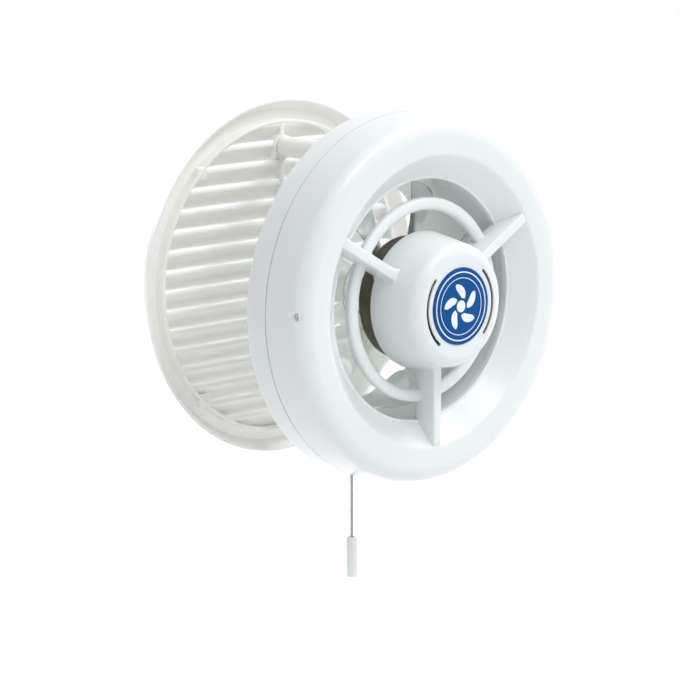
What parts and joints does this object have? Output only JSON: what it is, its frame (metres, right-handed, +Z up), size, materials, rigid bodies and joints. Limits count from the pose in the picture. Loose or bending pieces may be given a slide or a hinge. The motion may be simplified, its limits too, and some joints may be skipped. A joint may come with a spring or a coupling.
{
  "type": "window exhaust fan",
  "caption": "Round window exhaust fan: drum-shaped motor unit with dished front grille, hub motor, pull switch and cord, clamped by posts to a round louvred outdoor grille.",
  "frame": {"origin": "centre of the seat plane, where the drum's flange and its gasket meet the pane", "axes": "+Y along the fan axis towards outdoors, -Y into the room, +Z up, the pull cord hangs towards -Z"},
  "size_m": [0.2, 0.1479, 0.25],
  "materials": {
    "white_plastic": "satin gloss ABS, bright white",
    "cream_plastic": "satin ABS, slightly warm white",
    "badge_blue": "printed foil, glossy blue",
    "clear_blades": "clear greenish polystyrene",
    "gasket_foam": "closed-cell foam rubber",
    "grommet_rubber": "soft rubber",
    "zinc_screws": "zinc-plated steel",
    "switch_plastic": "urea moulding, off-white",
    "terminal_nylon": "natural nylon",
    "cord_nylon": "twisted nylon, grey-white",
    "dark_shell": "dark brown enamel on drawn steel",
    "lamination": "stacked electrical steel",
    "copper_wire": "enamelled copper",
    "zinc_casting": "die-cast zinc",
    "sintered_bronze": "sintered bronze",
    "ground_steel": "ground steel"
  },
  "bodies": {
    "housing": {"front_grille": "white_plastic", "badge": "badge_blue", "rear_housing": "white_plastic", "pane_gasket": "gasket_foam", "cover_screws": "zinc_screws", "outer_grille": "cream_plastic", "clamp_posts": "white_plastic", "clamp_screws": "zinc_screws", "clamp_nuts": "zinc_screws", "switch_body": "switch_plastic", "switch_screws": "zinc_screws", "cord_bushing": "white_plastic", "terminal_block": "terminal_nylon", "terminal_screws": "zinc_screws", "cable_grommet": "grommet_rubber", "motor_shell": "dark_shell", "stator_core": "lamination", "stator_coils": "copper_wire", "shading_rings": "copper_wire", "motor_bracket": "zinc_casting", "front_bearing": "sintered_bronze", "rear_bearing": "sintered_bronze", "motor_screws": "zinc_screws"},
    "rotor": {"motor_shaft": "ground_steel", "rotor_core": "lamination", "thrust_washers": "terminal_nylon", "impeller": "clear_blades", "impeller_nut": "zinc_screws"},
    "pull": {"switch_plunger": "switch_plastic", "pull_cord": "cord_nylon", "cord_knot": "cord_nylon", "pull_handle": "white_plastic"}
  },
  "joints": [
    {"name": "rotor_spin", "type": "hinge", "parent": "housing", "child": "rotor", "pos_m": [0, 0, 0], "axis": [0, 1, 0], "continuous": true},
    {"name": "switch_pull", "type": "slide", "parent": "housing", "child": "pull", "axis": [0, 0, -1], "range_m": [0, 0.008], "stiffness_N_per_m": 500, "springref_m": -0.003}
  ]
}
